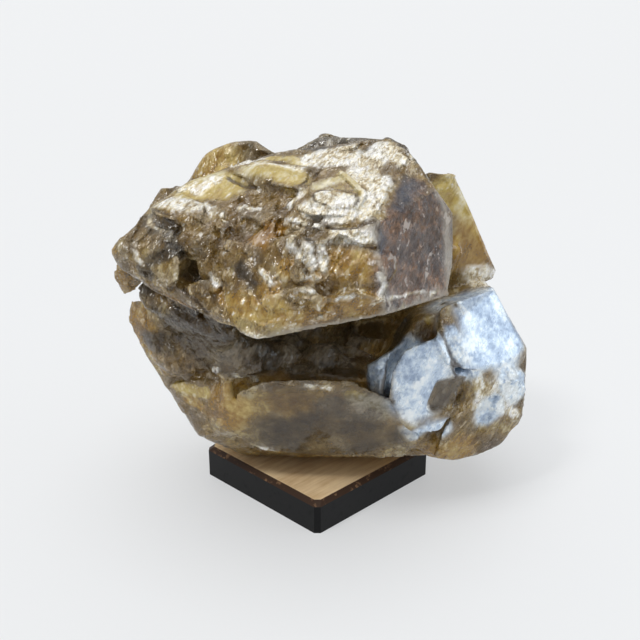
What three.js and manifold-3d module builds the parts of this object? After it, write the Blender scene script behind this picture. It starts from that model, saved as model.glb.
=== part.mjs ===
// A barite specimen on a small square display block.
// Units are millimetres and +Z is up. The origin is the centre of the block's foot, on the surface it
// stands on, and the display side of the specimen faces -Y.
//
// The specimen is one solid: tabular barite crystals that grew together. Each big crystal and each large
// broken form is a convex solid given by its corners. They are joined, the hollows are cut, and the broken
// faces are then stepped with small cleavage tablets, whose rhombic outline is barite's own.

import * as THREE from "three";
import { ConvexGeometry } from "three/addons/geometries/ConvexGeometry.js";
import { mergeVertices } from "three/addons/utils/BufferGeometryUtils.js";
import Module from "manifold-3d";

const wasm = await Module();
wasm.setup();

// ---------- driving dimensions ----------

const BLOCK_SIDE = 40;
const BLOCK_HEIGHT = 8;
const BLOCK_BEVEL = 1.1; // on the top edges and the four upright edges
const BLOCK_TURN = Math.PI / 4; // one corner of the block points to the front
const SEAT_GAP = 0.25; // between the block's top and the specimen's underside
const SEAT = BLOCK_HEIGHT + SEAT_GAP;

const PRISM_ANGLE = (78.4 * Math.PI) / 180; // between barite's prism cleavages
const FINEST_DETAIL = 0.04; // edges shorter than this are closed up
const SEED = 20;

// ---------- the big crystals, by their corners ----------

// The thick tabular crystal that leans out at the top front.
const FRONT_BAR = [
  [-44, -20, 65.5], [-43, -20, 62], [-34, -24, 57.5], [-23, -32, 56], [-12, -42, 54], [-15, -40, 55.5],
  [13.5, -38.5, 58], [28.5, -26, 58], [29, -17, 73], [25, -19, 78.5], [19, -9, 86], [15.7, -6, 86.8],
  [5, -8, 85.6], [-3.6, -6, 83.5], [-10, -2, 83], [-17, -4, 81], [-28.5, -8, 77.7], [-36, -14, 73.6], [-41, -18, 69],
  [-3.3, -37, 71.8], [10.5, -34.5, 75], [-17.6, -32, 69.2], [-35, -24, 68],
  [-40, 4, 62], [26, 10, 60], [18, 8, 82], [-20, 6, 78],
];
// The keel-shaped crystal below it, which rests on the block.
const KEEL = [
  [-43.6, -6, 48.5], [-44, -6, 44], [-41.5, -7, 37], [-37, -8, 30], [-32.5, -10, 22.3], [-28.5, -12, 17],
  [-20, -14, 15], [-9, -16, 14.8], [3.4, -16, 13.7], [16, -16, 13.5], [27, -15, 13.5],
  [-16, -21, 40], [-27, -16, 34], [3, -21, 35], [15, -21, 35],
  [-22, 20, SEAT], [18, 22, SEAT], [-18, -6, SEAT], [18, -6, SEAT], [-38, 18, 42], [30, 22, 46],
];
// The broad glossy cleavage plate on the right.
const RIGHT_PLATE = [
  [41, -4, 51.5], [50.3, -4, 36.3], [49.2, -5, 32], [50.3, -6, 27.3], [49.4, -8, 19], [44, -11, 13.7],
  [38.7, -13, 12], [33, -15, 11.6], [27, -16, 13.2], [18.8, -22, 21.2], [16.7, -22, 31.3], [14.8, -21, 46],
  [36, 20, 50], [46, 16, 34], [44, 14, 20], [28, 14, 12], [10, 14, 14],
];
// The honey-coloured crystal that stands behind on the right.
const BACK_RIGHT = [
  [25.4, 2, 77.8], [32, 4, 76.4], [36.6, 4, 67], [43, 4, 53], [42, 4, 50.5], [33, 2, 49], [20, 5, 53],
  [24, 24, 70], [30, 22, 72], [38, 24, 52], [18, 26, 50],
];
const TOP_LEFT_LUMP = [
  [-20, 6, 84.2], [-27, 8, 81], [-31, 8, 74.3], [-13, 8, 84], [-9, 6, 82.6], [-30, 20, 66], [-10, 22, 70],
  [-18, 20, 80], [-30, 2, 66], [-9, 2, 66],
];
const TOP_LUMP = [
  [0, 8, 85.4], [7.6, 8, 84.7], [-5, 8, 81.5], [11, 8, 84.7], [18, 6, 84], [22, 20, 66], [-5, 20, 66],
  [4, 18, 81], [-5, 2, 70], [20, 2, 70],
];
const CORE = [
  [-40, -2, 60], [-36, -4, 46], [28, -4, 46], [34, 0, 60], [-34, 22, 58], [28, 24, 56], [-32, 22, 34],
  [32, 22, 32], [-18, 22, 14], [22, 22, 14], [-16, 22, 72], [16, 24, 72],
];

// ---------- broken forms that stand out from them ----------

const FORMS = {
  ledge: [
    [-36, -16, 74], [-29.5, -13, 76.5], [-23.5, -19, 75.5], [-24, -26.5, 73], [-33, -20.5, 73],
    [-36, -12, 72.5], [-29.5, -10, 75], [-24, -15.5, 74], [-24.5, -20, 71.5],
  ],
  blade: [
    [-19.5, -8, 80.5], [-12, -7.5, 82.5], [-1.5, -14, 82.5], [-3, -23, 79.5], [-10, -19, 80], [-15, -14, 80],
    [-19.5, -3.5, 79], [-1.5, -9, 80.5], [-3.5, -16, 78], [-14.5, -8.5, 79],
  ],
  lozenge: [
    [-7, -22.5, 77], [0, -20.5, 81], [5, -17.5, 83], [10, -24.5, 79.5], [8, -31, 76.5], [-1, -31, 76.5],
    [-7, -18.5, 75.5], [5, -12, 81], [9.5, -18.5, 77.5], [7, -23.5, 75], [-1.5, -23, 75],
  ],
  upper_boss: [
    [-6, -36, 69], [-3, -40, 72], [1.5, -39, 72.5], [4, -39, 69.5], [0, -40.5, 65.5], [-5, -40, 65.5], [0, -34, 69],
  ],
  side_boss: [[4.5, -38.5, 69], [10.5, -37.5, 70.5], [13, -37, 66], [6.5, -39.5, 65], [9, -32, 68]],
  front_step: [
    [-13, -40, 61], [-3.5, -41.5, 65], [4.5, -41.5, 64.5], [13.5, -39, 61.5], [14, -37, 58.5], [-3.5, -41, 56],
    [-12, -42, 54.5], [-12, -30, 58], [12, -30, 62],
  ],
  under_plate: [
    [-34.5, -22, 56.5], [-29, -25, 59], [-18.5, -33, 56.5], [-15.5, -38, 54], [-18, -18, 42], [-29.5, -12, 35],
    [-36.5, -9, 43], [-38, -10, 49.5], [-36, -6, 51], [-19, -8, 42], [-20, -4, 50],
  ],
  left_chip: [
    [-44.5, -14, 61], [-46, -12, 57.5], [-44, -11, 52.5], [-41.5, -10, 53], [-38, -12, 57], [-38, -14, 62],
    [-38, -6, 56],
  ],
  upper_rim: [[-43, -8, 50], [-44, -8, 45], [-41.5, -9, 39], [-36, -14, 42.5], [-37.5, -12, 51.5], [-34, -6, 45]],
  lower_rim: [[-39.5, -10, 38.5], [-35.5, -12, 31], [-29, -17, 36], [-33, -16, 42], [-36, -13, 42], [-32, -6, 36]],
  ledge_lump: [
    [-25.5, -18, 36.5], [-22.5, -20, 42], [-16.5, -22, 44.5], [-12, -24, 44], [-12, -25, 39], [-20.5, -22, 35],
    [-18, -10, 40], [-12, -10, 42],
  ],
  left_foot: [[-36, -11, 30], [-26.5, -19, 35.5], [-18.5, -22, 34.5], [-19, -18, 19], [-28, -13, 17], [-24, -4, 24]],
  lens: [
    [-19, -24, 34], [-11.5, -27, 38.5], [-2.5, -28, 39.5], [7.5, -27, 38.5], [17.5, -25, 32.5], [24, -21, 21],
    [20.5, -18, 14], [3, -19, 15], [-13, -18, 16], [-19, -19, 19.5], [0, -8, 24],
  ],
  upper_plateau: [
    [27.5, -15, 50.5], [33.5, -9, 51], [41, -5.5, 51.5], [50, -5, 36.5], [49, -6, 32.5], [42.5, -12, 35.5],
    [34.5, -18, 36], [29, -21, 39], [26, -21, 45], [30, 0, 44], [44, 2, 38],
  ],
  lower_plateau: [
    [27, -19, 45.5], [19, -24, 44.5], [16, -26, 40], [15.5, -27, 33.5], [18.5, -26, 27], [21, -25, 24],
    [28, -22, 23], [32, -19, 27.5], [32.5, -18, 35], [29, -19, 39], [22, -8, 34],
  ],
  lobe: [
    [35, -16, 34], [42.5, -12, 34], [49, -7.5, 32.5], [50.2, -8, 27.5], [49, -10, 19.5], [43.5, -13, 14.5],
    [38, -15, 13], [32.5, -17, 12.5], [27, -19, 14.5], [28, -21, 21.5], [32.5, -19, 26.5], [36, 0, 22],
  ],
  banded_edge: [[10, -20, 47.5], [15.5, -22, 47.5], [16, -24, 44.5], [15, -24, 33], [12, -22, 32.5], [10, -18, 42.5], [15, -12, 40]],
  gold_lump: [[29, -16, 55], [36, -10, 54], [35, -14, 52], [32, -17, 50.5], [30, -17, 52.5], [32, -6, 52]],
};

// ---------- hollows cut into the joined crystals ----------

const HOLLOWS = {
  crevice: [
    [-26, -28, 75], [-20.5, -33, 74], [-20, -40, 64], [-26.5, -37, 63.5], [-25.5, -18, 68], [-23.5, -19.5, 68],
    [-23, -25, 62], [-25.5, -24, 62.5],
  ],
  lozenge_face: [
    [-1, -31, 78.5], [0.5, -27.5, 80.5], [6.5, -26.5, 81], [8, -30, 79], [5.5, -32, 78], [0, -26, 77.5],
    [6.5, -26, 77.5], [5.5, -23, 79],
  ],
  recess: [
    [-15, -34, 53], [24, -30, 53], [28, -10, 55], [-16, -8, 52], [-11, -25, 42.5], [10, -25, 40.5],
    [14, -12, 37], [-10, -12, 40],
  ],
  honey_window: [[-9.5, -36, 72.5], [-8.5, -27.5, 77], [-5.5, -28.5, 77], [-6.5, -39, 72], [-8, -26, 72]],
  brow: [
    [-6, -43, 70.5], [-3.5, -40, 74], [13, -39, 73.5], [13.5, -41, 69], [2.5, -42, 71.5], [-3.5, -33.5, 69.5],
    [11.5, -31.5, 70],
  ],
};

// ---------- making solids ----------

function solidOf(geometry) {
  const bare = geometry.clone();
  bare.deleteAttribute("normal");
  bare.deleteAttribute("uv");
  const merged = mergeVertices(bare, 1e-4);
  return new wasm.Manifold(
    new wasm.Mesh({
      numProp: 3,
      vertProperties: new Float32Array(merged.attributes.position.array),
      triVerts: new Uint32Array(merged.index.array),
    }),
  );
}

function geometryOf(solid) {
  const mesh = solid.getMesh();
  const geometry = new THREE.BufferGeometry();
  geometry.setAttribute("position", new THREE.BufferAttribute(mesh.vertProperties, 3));
  geometry.setIndex(new THREE.BufferAttribute(mesh.triVerts, 1));
  geometry.computeVertexNormals();
  return geometry;
}

function hull(corners) {
  return solidOf(new ConvexGeometry(corners.map((c) => new THREE.Vector3(...c))));
}

// A small repeatable random source: the same numbers on every run.
function randomSource(seed) {
  let state = seed;
  return () => {
    state = (Math.imul(state, 1664525) + 1013904223) >>> 0;
    return state / 4294967296;
  };
}

// ---------- tablets ----------

// The corners of a rhombic tablet with cut-off points, flat along Z. bevel is the share by which its two
// broad faces are smaller than its waist; 0 gives a plain cleavage piece.
function tabletCorners(length, width, thickness, bevel) {
  const short = Math.tan(PRISM_ANGLE / 2);
  const cut = 0.8;
  const outline = [[cut, short * (1 - cut)], [0, short], [-cut, short * (1 - cut)]];
  outline.push(...outline.map(([x, y]) => [-x, -y]));
  const levels = bevel > 0 ? [[1 - bevel, 0.5], [1, 0.12], [1, -0.12], [1 - bevel, -0.5]] : [[1, 0.5], [1, -0.5]];
  return levels.flatMap(([scale, level]) =>
    outline.map(
      ([x, y]) => new THREE.Vector3((x * scale * length) / 2, (y * scale * width) / (2 * short), level * thickness),
    ),
  );
}

// A tablet turned by Euler angles in degrees and moved to its place.
function tablet({ at, size, turn, bevel = 0.12 }) {
  const spin = new THREE.Euler(...turn.map(THREE.MathUtils.degToRad));
  const corners = tabletCorners(...size, bevel).map((c) => c.applyEuler(spin).add(new THREE.Vector3(...at)));
  return solidOf(new ConvexGeometry(corners));
}

// Tabular crystals on the sides and back, in nearly parallel growth.
const TABLETS = [
  { at: [-24, 14, 52], size: [46, 34, 15], turn: [62, 12, 20] },
  { at: [10, 20, 58], size: [52, 38, 13], turn: [70, -8, -12] },
  { at: [24, 18, 34], size: [48, 36, 14], turn: [58, 18, -30] },
  { at: [-14, 18, 30], size: [50, 34, 12], turn: [66, 6, 10] },
  { at: [4, 16, 74], size: [36, 26, 9], turn: [40, 4, 14] },
  { at: [-32, 4, 66], size: [26, 20, 8], turn: [30, -20, 30] },
];

// ---------- cleavage steps ----------

// Points spread over a solid's surface by area, each with its face's normal.
function surfacePoints(solid, count, random) {
  const mesh = solid.getMesh();
  const corner = (t, k) => new THREE.Vector3().fromArray(mesh.vertProperties, mesh.triVerts[3 * t + k] * mesh.numProp);
  const triangles = [];
  let total = 0;
  for (let t = 0; t < mesh.triVerts.length / 3; t++) {
    const face = new THREE.Triangle(corner(t, 0), corner(t, 1), corner(t, 2));
    total += face.getArea();
    triangles.push({ face, upTo: total });
  }
  return Array.from({ length: count }, () => {
    const reach = random() * total;
    const { face } = triangles.find(({ upTo }) => upTo >= reach);
    let [u, v] = [random(), random()];
    if (u + v > 1) [u, v] = [1 - u, 1 - v];
    const point = face.a.clone().addScaledVector(face.b.clone().sub(face.a), u);
    point.addScaledVector(face.c.clone().sub(face.a), v);
    return { point, normal: face.getNormal(new THREE.Vector3()) };
  });
}

// Faces that stay whole: centre and radius of each.
const SMOOTH = [
  { at: [21, -27, 69], radius: 12 }, // the dark right face of the front crystal
  { at: [0, -24, 27], radius: 19 }, // the lens
  { at: [38, -13, 42], radius: 13 }, // the glossy plate, in three places
  { at: [22, -25, 35], radius: 10 },
  { at: [26, -21, 26], radius: 9 },
  { at: [49, -6, 33], radius: 7 }, // its outer corner
  { at: [38, 3, 62], radius: 9 }, // the clear back-right crystal
  { at: [0, 4, 4], radius: 28 }, // the seat and what is near it
];

// The direction in which the steps run: that of the crystal they belong to.
const GROWTH = [
  { above: 52, along: new THREE.Vector3(1, 0.35, -0.12), turn: [58, 8, -6] }, // the front crystal and the top
  { above: 0, along: new THREE.Vector3(0.5, 0.3, 1), turn: [74, -10, 22] }, // the lower crystals
];
const STEP_COUNT = 150;
const STEP_LENGTH = [9, 21];
const STEP_WIDTH = [6, 14];
const STEP_DEPTH = [0.5, 1.9];
const STEP_TILT = (9 * Math.PI) / 180;
const STEP_THICKNESS = 6;

// Tablet-shaped pieces that broke off the surface. A terrace lies flat in the surface. A notch lies as the
// crystal's cleavage does, whatever way the surface faces, so it leaves an angular step.
function brokenSteps(solid) {
  const random = randomSource(SEED);
  const between = ([low, high]) => low + (high - low) * random();
  const cuts = [];
  for (const { point, normal } of surfacePoints(solid, STEP_COUNT, random)) {
    const [length, width, depth] = [STEP_LENGTH, STEP_WIDTH, STEP_DEPTH].map(between);
    const tilts = [between([-1, 1]), between([-1, 1]), between([-2, 2])].map((share) => share * STEP_TILT);
    const isTerrace = random() < 0.55;
    if (SMOOTH.some(({ at, radius }) => point.distanceTo(new THREE.Vector3(...at)) < radius)) continue;
    const { along, turn } = GROWTH.find(({ above }) => point.z > above);
    const side = new THREE.Vector3().crossVectors(normal, along).normalize();
    const flat = new THREE.Matrix4().makeBasis(new THREE.Vector3().crossVectors(side, normal), side, normal);
    const cleaved = new THREE.Matrix4().makeRotationFromEuler(
      new THREE.Euler(...turn.map(THREE.MathUtils.degToRad)),
    );
    const frame = isTerrace ? flat : cleaved;
    frame.multiply(new THREE.Matrix4().makeRotationFromEuler(new THREE.Euler(...tilts)));
    const corners = tabletCorners(length, width, STEP_THICKNESS, 0).map((c) => c.applyMatrix4(frame));
    const deepest = Math.min(...corners.map((c) => c.dot(normal)));
    const shift = point.clone().addScaledVector(normal, -deepest - depth);
    cuts.push(solidOf(new ConvexGeometry(corners.map((c) => c.add(shift)))));
  }
  return wasm.Manifold.union(cuts);
}

// A shallow flat pit with barite's six-sided outline, in the face of the glossy plate.
const PIT = { at: [27.4, -18.4, 30.8], along: [0.6, -0.72, 0.34], size: [13, 8.5], depth: 0.8, turn: 1.15 };

function pit({ at, along, size, depth, turn }) {
  const normal = new THREE.Vector3(...along).normalize();
  const spin = new THREE.Quaternion().setFromUnitVectors(new THREE.Vector3(0, 0, 1), normal);
  spin.multiply(new THREE.Quaternion().setFromAxisAngle(new THREE.Vector3(0, 0, 1), turn));
  const middle = new THREE.Vector3(...at).addScaledVector(normal, STEP_THICKNESS / 2 - depth);
  const corners = tabletCorners(...size, STEP_THICKNESS, 0).map((c) => c.applyQuaternion(spin).add(middle));
  return solidOf(new ConvexGeometry(corners));
}

// ---------- the two pieces ----------

function specimen() {
  const crystals = [FRONT_BAR, KEEL, RIGHT_PLATE, BACK_RIGHT, TOP_LEFT_LUMP, TOP_LUMP, CORE];
  const grown = wasm.Manifold.union([
    ...crystals.map(hull),
    ...Object.values(FORMS).map(hull),
    ...TABLETS.map(tablet),
  ]);
  const hollowed = grown.subtract(wasm.Manifold.union(Object.values(HOLLOWS).map(hull)));
  const stepped = hollowed.subtract(brokenSteps(hollowed)).subtract(pit(PIT));
  const below = new THREE.BoxGeometry(200, 200, SEAT).translate(0, 0, SEAT / 2);
  const pieces = stepped.subtract(solidOf(below)).simplify(FINEST_DETAIL).decompose();
  return pieces.reduce((a, b) => (a.volume() > b.volume() ? a : b));
}

function displayBlock() {
  const half = BLOCK_SIDE / 2;
  const outline = [];
  for (const [sx, sy] of [[1, 1], [-1, 1], [-1, -1], [1, -1]]) {
    outline.push([sx * half, sy * (half - BLOCK_BEVEL)], [sx * (half - BLOCK_BEVEL), sy * half]);
  }
  const inset = (half - BLOCK_BEVEL) / half;
  return new ConvexGeometry([
    ...outline.map(([x, y]) => new THREE.Vector3(x, y, 0)),
    ...outline.map(([x, y]) => new THREE.Vector3(x, y, BLOCK_HEIGHT - BLOCK_BEVEL)),
    ...outline.map(([x, y]) => new THREE.Vector3(x * inset, y * inset, BLOCK_HEIGHT)),
  ]);
}

const group = new THREE.Group();
const barite = new THREE.Mesh(
  geometryOf(specimen()),
  new THREE.MeshStandardMaterial({ color: 0x8a7350, roughness: 0.3, metalness: 0 }),
);
barite.name = "barite_crystals";
const block = new THREE.Mesh(
  displayBlock(),
  new THREE.MeshStandardMaterial({ color: 0x1a1715, roughness: 0.5, metalness: 0 }),
);
block.name = "display_block";
block.rotation.z = BLOCK_TURN;
group.add(barite, block);

export default group;
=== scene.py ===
"""Smoky honey-coloured barite crystals on a small square display block.

Lengths are worked out in millimetres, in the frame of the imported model: +Z is up, the display side faces -Y
and the origin is the centre of the block's foot. Blender's own unit is the metre.
"""

import itertools
import math
from types import SimpleNamespace

import bmesh
import bpy
import numpy as np
from mathutils import Matrix, Vector


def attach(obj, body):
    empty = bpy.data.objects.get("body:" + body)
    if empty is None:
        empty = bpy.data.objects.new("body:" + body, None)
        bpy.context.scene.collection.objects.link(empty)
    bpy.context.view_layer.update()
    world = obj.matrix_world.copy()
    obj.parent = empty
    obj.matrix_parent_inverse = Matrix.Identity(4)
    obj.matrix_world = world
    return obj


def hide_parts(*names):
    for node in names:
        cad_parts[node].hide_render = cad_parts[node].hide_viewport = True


MM = 0.001


# ---------- the frame and the camera ----------

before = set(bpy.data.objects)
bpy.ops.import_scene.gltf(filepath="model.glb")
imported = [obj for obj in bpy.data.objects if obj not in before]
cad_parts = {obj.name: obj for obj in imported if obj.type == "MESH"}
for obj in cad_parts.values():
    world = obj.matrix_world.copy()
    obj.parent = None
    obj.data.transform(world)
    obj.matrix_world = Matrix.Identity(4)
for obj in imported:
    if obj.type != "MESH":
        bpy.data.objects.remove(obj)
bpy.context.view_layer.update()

CAMERA_PLACE = (0.6, -224.1, 129.4)
CAMERA_TILT = 68.68  # degrees up from looking straight down
SENSOR_WIDTH = 36
FOCAL_LENGTH = 56.25


def add_camera():
    """A camera a little above the specimen, straight in front of the block's corner."""
    lens = bpy.data.cameras.new("camera")
    lens.sensor_width = SENSOR_WIDTH
    lens.lens = FOCAL_LENGTH
    lens.clip_start = 0.01
    lens.clip_end = 20
    camera = bpy.data.objects.new("camera", lens)
    camera.location = Vector(CAMERA_PLACE) * MM
    camera.rotation_euler = (math.radians(CAMERA_TILT), 0, 0)
    bpy.context.scene.collection.objects.link(camera)
    bpy.context.scene.camera = camera


# ---------- repeatable noise on arrays of points, in millimetres ----------

HASH_MASK = 0xFFFFFFFF
NEIGHBOURS = list(itertools.product((-1, 0, 1), repeat=3))


def hashed(cells, channel):
    """A number from 0 to 1 for each whole-number cell, the same on every run."""
    x, y, z = (cells[:, axis].astype(np.int64) & HASH_MASK for axis in range(3))
    mixed = (x * 73856093) ^ (y * 19349663) ^ (z * 83492791) ^ (channel * 2654435761 & HASH_MASK)
    mixed &= HASH_MASK
    for shift, factor in ((15, 2246822519), (13, 3266489917), (16, 668265263)):
        mixed = ((mixed ^ (mixed >> shift)) * factor) & HASH_MASK
    return (mixed ^ (mixed >> 15)) / HASH_MASK


def smooth_noise(points, size, channel=0):
    """Noise from -1 to 1 whose features are about that many millimetres across."""
    scaled = points / size
    low = np.floor(scaled).astype(np.int64)
    part = scaled - low
    part = part * part * (3 - 2 * part)
    total = np.zeros(len(points))
    for corner in itertools.product((0, 1), repeat=3):
        weight = np.prod(np.where(corner, part, 1 - part), axis=1)
        total += weight * hashed(low + corner, channel)
    return 2 * total - 1


def layered_noise(points, size, channel=0, layers=3):
    """Noise with finer noise on it, each layer half as large and half as strong."""
    total = sum(smooth_noise(points, size / 2**k, channel + k) / 2**k for k in range(layers))
    return total / (2 - 2 ** (1 - layers))


def chips(points, size, channel):
    """Splits space into irregular chips. Gives each point its chip's cell, its offset from the chip's seed
    and how near it is to the chip's border, from 0 on the border to about 1."""
    scaled = (points / size).astype(np.float32)
    low = np.floor(scaled).astype(np.int64)
    nearest = np.full(len(points), np.inf, np.float32)
    second = nearest.copy()
    home = low.copy()
    offset = np.zeros_like(scaled)
    for step in NEIGHBOURS:
        cell = low + step
        away = scaled - cell
        for axis in range(3):
            away[:, axis] -= hashed(cell, channel + axis)
        distance = np.einsum("ij,ij->i", away, away)
        closer = distance < nearest
        second = np.where(closer, nearest, np.minimum(second, distance))
        home[closer] = cell[closer]
        offset[closer] = away[closer]
        nearest = np.where(closer, distance, nearest)
    return home, offset * size, np.sqrt(second) - np.sqrt(nearest)


def blend_step(values, low, high):
    """0 below low, 1 above high and smooth between them."""
    part = np.clip((values - low) / (high - low), 0, 1)
    return part * part * (3 - 2 * part)


# ---------- where each finish lies ----------

# The raised right rim of the upper tablet.
TABLET_RIM = [(5.2, -20, 82.4), (7.2, -22.7, 81.2), (9.3, -26.1, 79.6), (7.8, -29.7, 78)]

# Broad regions. Each is a rounded region: centre, then the half-sizes along X, Y and Z.
PATCHES = {
    "frost": [
        ((43, -13, 27), (5, 5, 5)),
        ((39, 3, 52), (4, 6, 3)),
        ((-20, 16, 79), (6, 6, 4)),
    ],
    "straw": [
        ((31, 3, 72), (6, 10, 5)),
        ((-23, -11, 78), (9, 6, 3)),
    ],
    "honey": [
        ((37, 3, 59), (6, 12, 6)),
        ((31, -19, 16), (8, 7, 4)),
        ((-41, -10, 44), (3, 7, 7)),
        ((-24, 6, 79), (7, 7, 5)),
        ((-19, -20, 29), (6, 7, 6)),
    ],
    # Partly the smoky crystal's own dark and partly painted shade in the recess and under the upper crystal's
    # overhang.
    "dark": [
        ((-24, -28, 52), (11, 10, 6)),
        ((2, -10, 45), (22, 12, 7)),
        ((2, -23, 21), (19, 9, 8)),
        ((-19, -21, 42), (13, 9, 6)),
        ((-27, -21, 47), (12, 11, 8)),
    ],
    # The first greyed place, in the recess under the upper crystal, is partly painted shade.
    "grey": [
        ((0, -14, 43), (24, 14, 7)),
        ((3, 8, 85), (9, 8, 4)),
        ((9, -25, 31), (10, 7, 4)),
    ],
    "gloss": [
        ((39, -10, 43), (14, 9, 11)),
        ((23, -23, 35), (9, 7, 14)),
        ((-2, -24, 25), (25, 8, 12)),
        ((37, 3, 62), (8, 10, 12)),
    ],
    # The glossy plates. Their blue-white is a painted reflection of the bluish window over their pearly
    # lustre.
    "pearl": [
        ((37, -9, 45), (13, 8, 9)),
        ((43, -8, 38), (7, 7, 6)),
        ((23, -22, 38), (9, 6, 11)),
        ((25, -23, 24), (7, 5, 3)),
        ((46, -10, 30), (5, 5, 5)),
        ((13, -22, 41), (3, 5, 7)),
        ((40, -14, 24), (4, 5, 4)),
        ((35, -15, 39), (8, 6, 6)),
    ],
}

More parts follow.
